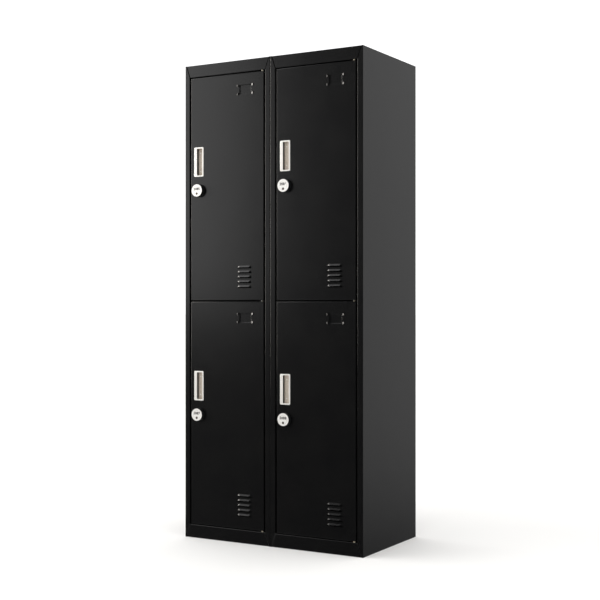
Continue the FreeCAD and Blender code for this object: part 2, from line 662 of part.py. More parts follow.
def model():
    """Each node's name and shape."""
    nodes = {}
    groups = {"hinge_lugs": [], "hinge_pins": [], "hinge_bushes": [], "door_buffers": [],
              "coat_rails": [], "rail_sockets": []}
    for name, x in MODULES.items():
        nodes[name + "_module_left_side"] = side_panel(x)
        nodes[name + "_module_right_side"] = mirrored_side(x)
        nodes[name + "_module_top"] = top_panel(x)
        nodes[name + "_module_bottom"] = bottom_panel(x)
        nodes[name + "_module_back"] = back_panel(x)
        nodes[name + "_module_shelf"] = shelf(x)
        groups["hinge_lugs"].append(hinge_lug(x))
        groups["hinge_pins"] += hinge_pins(x)
        groups["hinge_bushes"] += hinge_bushes(x)
        groups["door_buffers"] += door_buffers(x)
        for ceiling in CEILINGS.values():
            groups["coat_rails"].append(coat_rail(x, ceiling))
            groups["rail_sockets"] += rail_sockets(x, ceiling)
        for tier, z in TIERS.items():
            for piece, make in DOOR_NODES.items():
                nodes[tier + "_" + name + "_" + piece] = make(x, z)
    for joined_side in ("left_module_right_side", "right_module_left_side"):
        nodes[joined_side] = nodes[joined_side].cut(join_holes())
    groups["joining_bolts"] = [join_bolt(y, z) for y, z in join_places()]
    groups["joining_nuts"] = [join_nut(y, z) for y, z in join_places()]
    for name, pieces in groups.items():
        nodes[name] = Part.makeCompound(pieces)
    return nodes


os.makedirs("parts", exist_ok=True)
for node, shape in model().items():
    shape.exportStep("parts/" + node + ".step")
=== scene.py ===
import bpy
import bmesh
import json
import math
from mathutils import Matrix, Vector

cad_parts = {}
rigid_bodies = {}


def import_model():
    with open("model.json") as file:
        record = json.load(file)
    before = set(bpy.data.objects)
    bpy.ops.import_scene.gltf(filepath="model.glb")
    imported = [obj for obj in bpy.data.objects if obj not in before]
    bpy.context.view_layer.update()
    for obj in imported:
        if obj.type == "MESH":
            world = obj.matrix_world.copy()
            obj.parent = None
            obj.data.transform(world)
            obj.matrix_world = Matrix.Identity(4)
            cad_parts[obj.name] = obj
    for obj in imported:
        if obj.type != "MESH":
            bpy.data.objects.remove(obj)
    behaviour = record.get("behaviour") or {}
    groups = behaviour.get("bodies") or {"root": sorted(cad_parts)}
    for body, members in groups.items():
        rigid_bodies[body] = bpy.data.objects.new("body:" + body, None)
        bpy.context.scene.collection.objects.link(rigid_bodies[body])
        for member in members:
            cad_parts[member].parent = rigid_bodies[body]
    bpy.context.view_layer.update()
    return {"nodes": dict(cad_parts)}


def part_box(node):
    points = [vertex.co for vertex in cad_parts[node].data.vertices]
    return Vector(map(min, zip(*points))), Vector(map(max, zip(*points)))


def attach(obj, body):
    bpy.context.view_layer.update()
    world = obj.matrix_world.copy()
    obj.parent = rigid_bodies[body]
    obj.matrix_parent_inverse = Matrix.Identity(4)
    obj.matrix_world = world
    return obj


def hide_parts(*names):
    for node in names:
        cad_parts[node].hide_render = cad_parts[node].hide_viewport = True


for leftover in list(bpy.data.objects):
    bpy.data.objects.remove(leftover)
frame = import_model()

# Steel locker cabinet: two modules bolted side by side, two doors in each.
# Metres, +Z up, the doors face -Y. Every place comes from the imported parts.
MM = 0.001
QUARTER = math.radians(90.0)

# ---------------------------------------------------------------- sizes of the pressings
SHEET = 0.8 * MM
BEND = 2.4 * MM                 # outside radius of a fold
FOLD_STEPS = 4
STILE_WIDTH = 22.0 * MM
STILE_RETURN = 23.0 * MM
STILE_LIP = 14.0 * MM
TOP_RAIL = 46.0 * MM
BOTTOM_RAIL = 50.0 * MM
RAIL_RETURN = 20.0 * MM
MITRE_LAND = 6.0 * MM
SEAM = 3.0 * MM                 # open joint along each mitre
RAIL_STEP = 0.8 * MM            # the rails sit one sheet behind the mitred stiles
WELD_FLANGE = 14.0 * MM
FLOOR_FLANGE = 24.0 * MM
REAR_FLANGE = 18.0 * MM
SHELF_NOSE = 30.0 * MM
DOOR_DEPTH = 18.0 * MM
DOOR_LIP = 12.0 * MM
DOOR_BEND = 2.4 * MM
CUTOUT_FIT = 0.3 * MM
PIN_HOLE = 3.08 * MM            # radius
PIN_FROM_EDGE = 9.5 * MM
PIN_FROM_FRONT = 6.5 * MM
JOIN_HOLE = 3.25 * MM           # radius
JOIN_HEAD = 6.5 * MM            # radius
BUSH_RADIUS = 3.6 * MM
PACKED_BUSH_RADIUS = 5.0 * MM
STIFFENER_FLANGE = 12.0 * MM

# Louvres and card holder, pressed out of the door
LOUVRE_COUNT = 5
LOUVRE_WIDTH = 60.0 * MM
LOUVRE_RIDGE = 39.5 * MM
LOUVRE_CROWN = 50.0 * MM        # crease where a hood leaves the sheet
LOUVRE_HEIGHT = 10.5 * MM       # hood and slot together
LOUVRE_SLOT = 4.4 * MM          # opening below the lip of a hood
LOUVRE_PROUD = 3.5 * MM
LOUVRE_PITCH = 18.2 * MM
LOUVRE_FROM_BOTTOM = 51.0 * MM
LOUVRE_FROM_HINGE = 84.0 * MM
LOUVRE_MARGIN = 3.0 * MM        # flat sheet kept round the row of hoods
LOUVRE_SOFTNESS = 0.45 * MM     # radius that the press leaves on every crease
CARD_WIDTH = 72.0 * MM          # over the tabs
CARD_HEIGHT = 39.0 * MM
CARD_FIELD = (50.0 * MM, 35.0 * MM)
CARD_DEPTH = 2.6 * MM
CARD_SLOPE = 1.8 * MM
CARD_MARGIN = 3.0 * MM
CARD_FROM_TOP = 61.0 * MM
CARD_FROM_HINGE = 80.0 * MM
TAB_WIDTH = 10.0 * MM
TAB_HEIGHT = 8.0 * MM
TAB_SLIT = 1.2 * MM             # the press cuts the sheet along a tab's foot
TAB_PROUD = 2.6 * MM
TAB_RAMP = 7.6 * MM             # slope of a tab, on the side of the card
TAB_FALL = 0.9 * MM             # from its crest to its outer edge
TAB_ROUNDING = 0.7 * MM
CARD_SLOT = (2.6 * MM, 22.0 * MM)   # opening beside the field, on the free-edge side

# Pull handle
BEZEL = 5.0 * MM
HANDLE_PROUD = 2.0 * MM
HANDLE_CORNER = 4.0 * MM
CUP_CORNER = 2.5 * MM
CUP_WALL = 1.2 * MM
CUP_DEPTH = 13.5 * MM
GRIP_LIP = 7.0 * MM              # grip that overhangs the cup
GRIP_SHADE_BLOCK_WIDTH = 5.5 * MM           # black block along the cup's wall under the grip: painted shade where the grip's overhang shades the cup
SHADE_BLOCK_HEIGHT = 4.0 * MM
GRIP_THICKNESS = 2.2 * MM
RIVET_RADIUS = 2.2 * MM
RIVET_HEIGHT = 0.9 * MM
RIVET_SHARES = (0.16, 0.84)     # places of the rivets along the cup

# Lock
BARREL_RADIUS = 10.0 * MM
COLLAR_HEIGHT = 3.0 * MM
SHAFT_RADIUS = 5.5 * MM
RIBS = 96                       # sides of the knob; every second one is a groove
TENON = 7.0 * MM
CAM_THICKNESS = 2.0 * MM
PLUG_RADIUS = 4.5 * MM
KNOB_GAP = 0.3 * MM             # knob to collar
RUNNING_FIT = 0.08 * MM         # radial, round a turning piece
RIB_FROM_FRONT = 3.0 * MM
RIB_FROM_BACK = 0.8 * MM
RIB_GAP = 0.25 * MM
RIB_DEPTH = 0.55 * MM
DISC_RIM = 1.5 * MM
DISC_SUNK = 0.15 * MM           # disc's middle behind its rim
KEYWAY = (1.6 * MM, 6.0 * MM, 5.0 * MM)     # width, length, depth
WARD = (1.6 * MM, 1.2 * MM)     # side arm of the keyway
FIRST_NUMBER = 2085
NUMBER_SIZE = 13.0 * MM
NUMBER_WEIGHT = 0.5 * MM        # thickens the strokes
NUMBER_ABOVE_AXIS = 5.2 * MM

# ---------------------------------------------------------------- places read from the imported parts
side_low, side_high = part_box("left_module_left_side")
FRONT, BACK = side_low.y, side_high.y
FLOOR, TOP = side_low.z, side_high.z
HEIGHT = TOP - FLOOR
MODULE_X = {"left": side_low.x, "right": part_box("right_module_left_side")[0].x}
MODULE_WIDTH = MODULE_X["right"] - MODULE_X["left"]
LIP_Y = FRONT + STILE_RETURN
SHELF_FRONT = LIP_Y + SHEET
CROSS_BACK = BACK - 2.0 * SHEET
SHELF_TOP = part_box("left_module_shelf")[1].z
DOORS = ("upper_left", "upper_right", "lower_left", "lower_right")
PATTERN_DOOR = "upper_left"     # the door that the others are copied from


# ---------------------------------------------------------------- modelling helpers
def deselect():
    """Object mode with nothing selected."""
    if bpy.context.object and bpy.context.object.mode != "OBJECT":
        bpy.ops.object.mode_set(mode="OBJECT")
    bpy.ops.object.select_all(action="DESELECT")


def take(piece):
    """Makes one piece the active and only selected one."""
    deselect()
    piece.select_set(True)
    bpy.context.view_layer.objects.active = piece
    return piece


def settle(name):
    """Names the new object and moves its place into its mesh."""
    piece = bpy.context.object
    bpy.ops.object.transform_apply(location=True, rotation=True, scale=True)
    piece.name = piece.data.name = name
    return piece


def add_block(name, low, high):
    """Block between two corners."""
    deselect()
    low, high = Vector(low), Vector(high)
    bpy.ops.mesh.primitive_cube_add(size=1, location=(low + high) / 2, scale=high - low)
    return settle(name)


def add_rod(name, middle, radius, length, turn=(0, 0, 0), steps=32):
    """Cylinder along Z, or turned."""
    deselect()
    bpy.ops.mesh.primitive_cylinder_add(vertices=steps, radius=radius, depth=length, location=middle,
                                        rotation=turn)
    return settle(name)


def add_disc(name, centre, radius, y0, y1, steps=64):
    """Cylinder along Y."""
    return add_rod(name, (centre[0], (y0 + y1) / 2, centre[1]), radius, abs(y1 - y0), (QUARTER, 0, 0), steps)


def add_plate(name, x, y, z, width, height):
    """Upright plane that faces -Y."""
    deselect()
    bpy.ops.mesh.primitive_plane_add(size=1, location=(x, y, z), rotation=(QUARTER, 0, 0))
    bpy.context.object.scale = (width, height, 1)
    return settle(name)


def select(piece, kind, test):
    """Edit mode with only the parts that pass the test selected.

    The test gets a middle and a face's normal, an edge's direction or, for a point, nothing.
    """
    take(piece)
    bpy.ops.object.mode_set(mode="EDIT")
    bpy.ops.mesh.select_mode(type=kind)
    bpy.ops.mesh.select_all(action="DESELECT")
    shape = bmesh.from_edit_mesh(piece.data)
    if kind == "FACE":
        for face in shape.faces:
            face.select_set(test(face.calc_center_median(), face.normal))
    elif kind == "EDGE":
        for edge in shape.edges:
            a, b = (v.co for v in edge.verts)
            folded = len(edge.link_faces) == 2
            edge.select_set(folded and test((a + b) / 2, (b - a).normalized()))
    else:
        for point in shape.verts:
            point.select_set(test(point.co))
    shape.select_flush_mode()
    bmesh.update_edit_mesh(piece.data)


def pick_edges(piece, test):
    """Edit mode with only the edges that pass the test selected, free edges too."""
    take(piece)
    bpy.ops.object.mode_set(mode="EDIT")
    bpy.ops.mesh.select_mode(type="EDGE")
    bpy.ops.mesh.select_all(action="DESELECT")
    shape = bmesh.from_edit_mesh(piece.data)
    for edge in shape.edges:
        edge.select_set(test(edge))
    bmesh.update_edit_mesh(piece.data)


def near(a, b, within=0.02 * MM):
    return abs(a - b) < within


def bevel(piece, radius, steps, test):
    """Rounds the chosen edges."""
    select(piece, "EDGE", test)
    bpy.ops.mesh.bevel(offset=radius, segments=steps, affect="EDGES", clamp_overlap=True)
    deselect()


def inset(thickness, depth=0.0):
    bpy.ops.mesh.inset(thickness=thickness, depth=depth, use_even_offset=True)


def push(move):
    """Extrudes the selected faces by a step."""
    bpy.ops.mesh.extrude_region_move(TRANSFORM_OT_translate={"value": tuple(move)})


def apply_modifier(piece, kind, **settings):
    take(piece)
    modifier = piece.modifiers.new(kind.lower(), kind)
    for key, value in settings.items():
        setattr(modifier, key, value)
    bpy.ops.object.modifier_apply(modifier=modifier.name)


def thicken(piece, thickness=SHEET):
    """Gives a folded surface its metal, on the inside."""
    apply_modifier(piece, "SOLIDIFY", thickness=thickness, offset=-1.0, use_even_offset=True,
                   use_quality_normals=True)


def cut(piece, *cutters):
    """Takes the cutters out of the piece and throws them away."""
    for cutter in cutters:
        apply_modifier(piece, "BOOLEAN", operation="DIFFERENCE", solver="EXACT", object=cutter)
        bpy.data.objects.remove(cutter)


def join(piece, *others):
    """Makes the others part of the piece."""
    take(piece)
    for other in others:
        other.select_set(True)
    bpy.ops.object.join()
    return piece


def smooth(piece, angle=29.0):
    """Smooth folds beside flat faces."""
    take(piece)
    bpy.ops.object.shade_smooth_by_angle(angle=math.radians(angle))
    apply_modifier(piece, "WEIGHTED_NORMAL", mode="FACE_AREA", weight=90, keep_sharp=True)


def copy_to(piece, name, step):
    """Copy with its own mesh, moved by a step."""
    take(piece)
    bpy.ops.object.duplicate(linked=False)
    copy = bpy.context.object
    copy.location = step
    return settle(name)


# ---------------------------------------------------------------- folded sheet
def folded_sheet(name, points, run, trim=None, radius=BEND):
    """Sheet folded along a row of points and run the length of the piece.

    The first leg is a plane, and each further leg is extruded from its free edge.
    """
    deselect()
    points = [Vector(p) for p in points]
    run = Vector(run)
    leg = points[1] - points[0]
    bpy.ops.mesh.primitive_plane_add(size=1)
    sheet = bpy.context.object
    axes = Matrix((leg, run, leg.cross(run).normalized())).transposed()
    sheet.matrix_world = Matrix.Translation(points[0] + (leg + run) / 2) @ axes.to_4x4()
    settle(name)
    along = run.normalized()

    def on_line(middle, point):
        offset = middle - point
        return (offset - along * offset.dot(along)).length < 0.02 * MM

    pick_edges(sheet, lambda edge: all(on_line(end.co, points[1]) for end in edge.verts))
    for before, after in zip(points[1:], points[2:]):
        bpy.ops.mesh.extrude_edges_move(TRANSFORM_OT_translate={"value": tuple(after - before)})
    deselect()
    if trim:
        trim(sheet)
    folds = points[1:-1]
    bevel(sheet, radius, FOLD_STEPS,
          lambda m, d: abs(d.dot(along)) > 0.999 and any(on_line(m, p) for p in folds))
    return sheet


def slice_off(piece, test, point, outward):
    """Removes what lies outward of a plane, from the chosen faces only."""
    point, outward = Vector(point), Vector(outward)
    select(piece, "FACE", test)
    bpy.ops.mesh.bisect(plane_co=point, plane_no=outward, threshold=0.001 * MM)
    select(piece, "FACE", lambda m, n: test(m, n) and (m - point).dot(outward) > 0)
    bpy.ops.mesh.delete(type="FACE")
    deselect()


def mitre_planes(edge_x, hand, keep_stile):
    """Point and outward direction of the mitre at the top and at the bottom of one stile."""
    planes = []
    for z_edge, z_corner in ((TOP, TOP - TOP_RAIL), (FLOOR, FLOOR + BOTTOM_RAIL)):
        corner = Vector((edge_x + hand * STILE_WIDTH, FRONT, z_corner))
        tip = Vector((edge_x + hand * MITRE_LAND, FRONT, z_edge))
        line = (tip - corner).normalized()
        outward = Vector((line.z, 0, -line.x))
        if outward.x * hand < 0:
            outward = -outward
        if not keep_stile:
            outward = -outward
        planes.append((corner - outward * SEAM / 2, outward, z_corner, z_edge))
    return planes


# ---------------------------------------------------------------- carcass
def side_panel(name, edge_x, hand):
    """Rear flange, side, stile, stile return and stop lip, folded from one sheet."""
    inner = edge_x + hand * STILE_WIDTH
    start = FLOOR if hand > 0 else TOP
    line = [(edge_x + hand * REAR_FLANGE, BACK), (edge_x, BACK), (edge_x, FRONT), (inner, FRONT),
            (inner, LIP_Y), (inner + hand * STILE_LIP, LIP_Y)]

    def trim(sheet):
        for point, outward, z_corner, z_edge in mitre_planes(edge_x, hand, True):
            slice_off(sheet, lambda m, n: near(m.y, FRONT), point, outward)
            up = Vector((0, 0, math.copysign(1.0, z_edge - z_corner)))
            slice_off(sheet, lambda m, n: hand * (m.x - inner) > -0.1 * MM and m.y > FRONT + MM,
                      (inner, FRONT, z_corner), up)

    panel = folded_sheet(name, [(x, y, start) for x, y in line], (0, 0, hand * HEIGHT), trim)
    thicken(panel)
    return panel


def bolt_cutters(x):
    """Cylinders along X where the modules are bolted together."""
    low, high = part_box("joining_bolts")
    cutters = []
    for y in (low.y + JOIN_HEAD, high.y - JOIN_HEAD):
        for z in (low.z + JOIN_HEAD, high.z - JOIN_HEAD):
            cutters.append(add_rod("bolt_hole", (x, y, z), JOIN_HOLE, 8 * MM, (0, QUARTER, 0)))
    return cutters


def cross_sheet(name, module_x, path, plate_z, trim=None):
    """Panel between the sides, with a weld flange down each end of its plate at height plate_z."""
    start = module_x + SHEET
    width = MODULE_WIDTH - 2.0 * SHEET
    sheet = folded_sheet(name, [(start, y, z) for y, z in path], (width, 0, 0), trim)

    def ends_plate(edge):
        a, b = (v.co for v in edge.verts)
        at_end = near(a.x, b.x) and (near(a.x, start) or near(a.x, start + width))
        return at_end and near(a.z, plate_z) and near(b.z, plate_z) and abs(a.y - b.y) > 100 * MM

    pick_edges(sheet, ends_plate)
    bpy.ops.mesh.extrude_edges_move(TRANSFORM_OT_translate={"value": (0, 0, -WELD_FLANGE)})
    deselect()
    thicken(sheet)
    return sheet


def rail_trim(module_x):
    """Trim that cuts a rail along the mitres of both stiles."""
    def trim(sheet):
        for edge_x, hand in ((module_x, 1), (module_x + MODULE_WIDTH, -1)):
            for point, outward, z_corner, z_edge in mitre_planes(edge_x, hand, False):
                slice_off(sheet, lambda m, n: near(m.y, FRONT + RAIL_STEP)
                          and (m.z - z_corner) * (z_edge - z_corner) > 0, point, outward)
    return trim


def top_panel(name, x):
    """Top plate and the rail above the doors."""
    rail = TOP - TOP_RAIL
    turn = FRONT + RAIL_RETURN
    face = FRONT + RAIL_STEP
    path = [(CROSS_BACK, TOP - WELD_FLANGE), (CROSS_BACK, TOP), (face, TOP), (face, rail),
            (turn, rail), (turn, rail + WELD_FLANGE)]
    return cross_sheet(name, x, path, TOP, rail_trim(x))


def bottom_panel(name, x):
    """Floor plate and the rail below the doors."""
    rail = FLOOR + BOTTOM_RAIL
    face = FRONT + RAIL_STEP
    path = [(CROSS_BACK, rail - WELD_FLANGE), (CROSS_BACK, rail), (face, rail), (face, FLOOR),
            (FRONT + FLOOR_FLANGE, FLOOR)]
    return cross_sheet(name, x, path, rail, rail_trim(x))


def shelf(name, x):
    """Floor of the upper compartment."""
    nose = SHELF_TOP - SHELF_NOSE
    path = [(CROSS_BACK, SHELF_TOP - WELD_FLANGE), (CROSS_BACK, SHELF_TOP), (SHELF_FRONT, SHELF_TOP),
            (SHELF_FRONT, nose), (SHELF_FRONT + WELD_FLANGE, nose)]
    return cross_sheet(name, x, path, SHELF_TOP)


def back_panel(name, node):
    """Back with a flange that stands on the floor."""
    low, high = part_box(node)
    points = [(low.x, high.y - FLOOR_FLANGE, FLOOR), (low.x, high.y, FLOOR), (low.x, high.y, TOP)]
    panel = folded_sheet(name, points, (high.x - low.x, 0, 0))
    thicken(panel)
    return panel


def hinge_bushes(name):
    """Turned nylon collars with rounded ends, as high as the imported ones."""
    packed = frame["nodes"]["hinge_bushes"].data
    low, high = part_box("hinge_bushes")
    rings = sorted({round(v.co.z, 5) for v in packed.vertices})
    collars = []
    for x in (low.x + PACKED_BUSH_RADIUS, high.x - PACKED_BUSH_RADIUS):
        for z0, z1 in zip(rings[::2], rings[1::2]):
            collar = add_rod(name, (x, (low.y + high.y) / 2, (z0 + z1) / 2), BUSH_RADIUS, z1 - z0)
            bevel(collar, 0.4 * MM, 2, lambda m, d: near(m.z, z0) or near(m.z, z1))
            collars.append(collar)
    return join(*collars)


# ---------------------------------------------------------------- doors
def louvre_plate(name, middle_x, lowest_z, face_y):
    """Piece of the door's face with its row of hooded louvres, each open at the bottom."""
    half, ridge = LOUVRE_WIDTH / 2, LOUVRE_RIDGE / 2
    cell = add_plate(name, middle_x, face_y, lowest_z, LOUVRE_WIDTH + 2 * LOUVRE_MARGIN, LOUVRE_PITCH)
    sill, crown = lowest_z - LOUVRE_HEIGHT / 2, lowest_z + LOUVRE_HEIGHT / 2
    lip = sill + LOUVRE_SLOT
    for point, normal in (((0, 0, sill), (0, 0, 1)), ((0, 0, lip), (0, 0, 1)), ((0, 0, crown), (0, 0, 1)),
                          ((middle_x - half, 0, 0), (1, 0, 0)), ((middle_x + half, 0, 0), (1, 0, 0)),
                          ((middle_x - ridge, 0, 0), (1, 0, 0)), ((middle_x + ridge, 0, 0), (1, 0, 0))):
        select(cell, "FACE", lambda m, n: True)
        bpy.ops.mesh.bisect(plane_co=point, plane_no=normal)
    # the slot is opened, and the hood's lip is drawn out over it
    select(cell, "FACE", lambda m, n: sill < m.z < lip and abs(m.x - middle_x) < half)
    bpy.ops.mesh.delete(type="FACE")
    select(cell, "VERT", lambda p: near(p.z, lip) and abs(p.x - middle_x) < half - MM)
    bpy.ops.transform.translate(value=(0, -LOUVRE_PROUD, 0))
    for hand in (-1, 1):
        select(cell, "VERT", lambda p: near(p.z, crown) and near(p.x, middle_x + hand * half))
        bpy.ops.transform.translate(value=(hand * (LOUVRE_CROWN - LOUVRE_WIDTH) / 2, 0, 0))
        # each end gets a hip from its crown corner down to the end of the lip
        select(cell, "VERT", lambda p: (near(p.z, crown) and near(p.x, middle_x + hand * LOUVRE_CROWN / 2))
               or (near(p.z, lip) and near(p.x, middle_x + hand * ridge)))
        bpy.ops.mesh.vert_connect_path()
    deselect()
    cells = [copy_to(cell, name, (0, 0, i * LOUVRE_PITCH)) for i in range(1, LOUVRE_COUNT)]
    plate = join(cell, *cells)
    select(plate, "FACE", lambda m, n: True)
    bpy.ops.mesh.remove_doubles(threshold=0.01 * MM)
    deselect()
    # press radii on every crease of the hoods
    pick_edges(plate, lambda edge: len(edge.link_faces) == 2
               and edge.calc_face_angle(0.0) > math.radians(4))
    bpy.ops.mesh.bevel(offset=LOUVRE_SOFTNESS, segments=2, affect="EDGES", clamp_overlap=True)
    deselect()
    thicken(plate)
    return plate


def card_plate(name, x, z, face_y):
    """Piece of the door's face with the shallow field that a name card lies in."""
    width, height = (side + 2 * CARD_MARGIN for side in CARD_FIELD)
    plate = add_plate(name, x, face_y, z, width, height)
    select(plate, "FACE", lambda m, n: True)
    inset(CARD_MARGIN)
    inset(CARD_SLOPE, -CARD_DEPTH)
    deselect()
    bevel(plate, 0.35 * MM, 2,
          lambda m, d: abs(m.x - x) < width / 2 - MM and abs(m.z - z) < height / 2 - MM)
    thicken(plate)
    slits = []
    for side in (-1, 1):
        for end in (-1, 1):
            foot = x + side * (CARD_WIDTH / 2 - TAB_WIDTH)
            tip, root = z + end * CARD_HEIGHT / 2, z + end * (CARD_HEIGHT / 2 - TAB_HEIGHT)
            slits.append(add_block("slit", (min(foot, foot - side * TAB_SLIT), face_y - MM, min(tip, root)),
                                   (max(foot, foot - side * TAB_SLIT), face_y + 3 * MM, max(tip, root))))
    slot_x = x - CARD_WIDTH / 2 + TAB_WIDTH
    slits.append(add_block("card_slot", (slot_x, face_y - MM, z - CARD_SLOT[1] / 2),
                           (slot_x + CARD_SLOT[0], face_y + 4 * MM, z + CARD_SLOT[1] / 2)))
    cut(plate, *slits)
    return plate


def card_tab(name, x, z, side, end, face_y):
    """Raised tab at one corner of the field; it slopes down towards the card."""
    outer, inner = x + side * CARD_WIDTH / 2, x + side * (CARD_WIDTH / 2 - TAB_WIDTH)
    tip = z + end * CARD_HEIGHT / 2
    foot = tip - end * TAB_HEIGHT
    top_y = face_y - TAB_PROUD
    tab = add_block(name, (min(outer, inner), top_y, min(tip, foot)),
                    (max(outer, inner), face_y + 0.2 * MM, max(tip, foot)))
    select(tab, "VERT", lambda p: near(p.x, inner) and near(p.y, top_y))
    bpy.ops.transform.translate(value=(side * TAB_RAMP, 0, 0))
    select(tab, "VERT", lambda p: near(p.x, outer) and near(p.y, top_y))
    bpy.ops.transform.translate(value=(0, TAB_FALL, 0))
    bevel(tab, TAB_ROUNDING, 2, lambda m, d: near(m.x, outer) and near(m.y, top_y + TAB_FALL))
    bevel(tab, 0.5 * MM, 2, lambda m, d: (near(m.z, tip) or near(m.z, foot)) and m.y < face_y - 0.05 * MM)
    return tab


def opening(name, face_y, x0, x1, z0, z1):
    """Block that cuts an opening through the door's face."""
    return add_block(name, (x0, face_y - 5 * MM, z0), (x1, face_y + 5 * MM, z1))


def door_skin(name, door):
    """Door pressed as a shallow pan, with its cut-outs, louvres and card holder."""
    low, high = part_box(door + "_door_panel")
    face_y = high.y - DOOR_DEPTH
    pan = add_block(name, (low.x, face_y, low.z), high)
    bevel(pan, DOOR_BEND, FOLD_STEPS, lambda m, d: near(m.y, face_y))
    select(pan, "FACE", lambda m, n: n.y > 0.9)
    inset(DOOR_LIP)
    bpy.ops.mesh.delete(type="FACE")
    deselect()
    bevel(pan, DOOR_BEND, FOLD_STEPS, lambda m, d: near(m.y, high.y) and
          (near(m.x, low.x) or near(m.x, high.x) or near(m.z, low.z) or near(m.z, high.z)))
    thicken(pan)

    handle_low, handle_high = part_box(door + "_pull_handle")
    border = BEZEL - CUP_WALL - CUTOUT_FIT
    window = opening("handle_window", face_y, handle_low.x + border, handle_high.x - border,
                     handle_low.z + border, handle_high.z - border)
    bevel(window, HANDLE_CORNER, 4, lambda m, d: abs(d.y) > 0.9)
    axis = lock_axis(door)
    barrel = add_disc("barrel_hole", axis, BARREL_RADIUS + CUTOUT_FIT, face_y - 5 * MM, face_y + 5 * MM)
    pin_x = high.x - PIN_FROM_EDGE
    pins = [add_rod("pin_hole", (pin_x, face_y + PIN_FROM_FRONT, z), PIN_HOLE, 6 * MM)
            for z in (low.z, high.z)]
    middle_x = high.x - LOUVRE_FROM_HINGE
    lowest = low.z + LOUVRE_FROM_BOTTOM
    half = LOUVRE_WIDTH / 2 + LOUVRE_MARGIN
    row = opening("louvre_window", face_y, middle_x - half, middle_x + half,
                  lowest - LOUVRE_PITCH / 2, lowest + (LOUVRE_COUNT - 0.5) * LOUVRE_PITCH)
    card_x, card_z = high.x - CARD_FROM_HINGE, high.z - CARD_FROM_TOP
    half_w, half_h = (side / 2 + CARD_MARGIN for side in CARD_FIELD)
    card = opening("card_window", face_y, card_x - half_w, card_x + half_w, card_z - half_h,
                   card_z + half_h)
    cut(pan, window, barrel, row, card, *pins)

    tabs = [card_tab("card_tab", card_x, card_z, side, end, face_y) for side in (-1, 1) for end in (-1, 1)]
    return join(pan, louvre_plate("louvres", middle_x, lowest, face_y),
                card_plate("card_plate", card_x, card_z, face_y), *tabs)


def stiffener(name, node):
    """Hat channel behind the door's face."""
    low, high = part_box(node)
    web_low, web_high = low.x + STIFFENER_FLANGE, high.x - STIFFENER_FLANGE
    line = [(low.x, low.y), (web_low, low.y), (web_low, high.y), (web_high, high.y), (web_high, low.y),
            (high.x, low.y)]
    # the fold line is the face on the door's side, so the crown stands one sheet lower
    line = [(x, y if y == low.y else y - SHEET) for x, y in line]
    channel = folded_sheet(name, [(x, y, low.z) for x, y in line], (0, 0, high.z - low.z))
    thicken(channel)
    return channel


# ---------------------------------------------------------------- pull handle
def rounded_cutter(low, high, corner):
    """Block along Y with rounded corners, to cut with."""
    cutter = add_block("cutter", low, high)
    bevel(cutter, corner, 4, lambda m, d: abs(d.y) > 0.9)
    return cutter


def pull_handle(name, node):
    """Moulded handle: rounded bezel, scooped cup and the grip that overhangs it."""
    low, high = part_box(node)
    face_y = low.y + HANDLE_PROUD
    ledge_y = low.y + GRIP_THICKNESS
    floor_y = face_y + CUP_DEPTH
    middle_x = (low.x + high.x) / 2
    handle = add_block(name, low, (high.x, face_y, high.z))
    bevel(handle, HANDLE_CORNER, 6, lambda m, d: abs(d.y) > 0.9)
    select(handle, "FACE", lambda m, n: n.y > 0.9)
    inset(BEZEL - CUP_WALL)
    push((0, high.y - face_y, 0))
    deselect()
    bevel(handle, 1.4 * MM, 4, lambda m, d: near(m.y, low.y))
    left, right = low.x + BEZEL, high.x - BEZEL
    bottom, top = low.z + BEZEL, high.z - BEZEL
    mouth = rounded_cutter((left + GRIP_LIP, low.y - MM, bottom), (right, ledge_y + MM, top), CUP_CORNER)
    cup = rounded_cutter((left, ledge_y, bottom), (right, floor_y, top), CUP_CORNER)
    bevel(cup, 3.0 * MM, 4, lambda m, d: near(m.y, floor_y) and m.x > right - MM and abs(d.z) > 0.9)
    bevel(cup, 1.5 * MM, 3, lambda m, d: near(m.y, floor_y) and abs(d.x) > 0.9)
    cut(handle, mouth, cup)
    bevel(handle, 0.7 * MM, 3, lambda m, d: near(m.y, low.y) and left < m.x < right + 0.1 * MM
          and bottom - 0.1 * MM < m.z < top + 0.1 * MM)
    rivets = []
    for share in RIVET_SHARES:
        z = bottom + share * (top - bottom)
        head_y = floor_y - RIVET_HEIGHT
        rivet = add_disc("rivet", (middle_x - MM, z), RIVET_RADIUS, head_y, floor_y + 0.3 * MM, 24)
        bevel(rivet, 0.6 * MM, 3, lambda m, d: near(m.y, head_y))
        rivets.append(rivet)
    # a black block along the cup's wall under the grip is painted shade, standing in for the grip's shadow
    # in the cup
    shade_block = add_block("grip_painted_shade_block", (left - 0.2 * MM, floor_y - SHADE_BLOCK_HEIGHT, bottom + 0.3 * MM),
                      (left + GRIP_SHADE_BLOCK_WIDTH, floor_y + 0.2 * MM, top - 0.3 * MM))
    bevel(shade_block, 0.5 * MM, 2, lambda m, d: near(m.y, floor_y - SHADE_BLOCK_HEIGHT))
    for part, coat in ((handle, FINISHES["handle_plating"]), (shade_block, FINISHES["lock_housing"])):
        part.data.materials.append(coat)
    return join(handle, shade_block, *rivets)


# ---------------------------------------------------------------- lock
def axis_of(node):
    """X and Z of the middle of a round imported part."""
    low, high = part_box(node)
    return (low.x + high.x) / 2, (low.z + high.z) / 2


def lock_axis(door):
    return axis_of(door + "_lock_body")


def plug_cutter(door, y0, y1):
    """Cylinder that bores a hole for the key plug."""
    return add_disc("plug_bore", axis_of(door + "_key_plug"), PLUG_RADIUS + RUNNING_FIT, y0, y1)


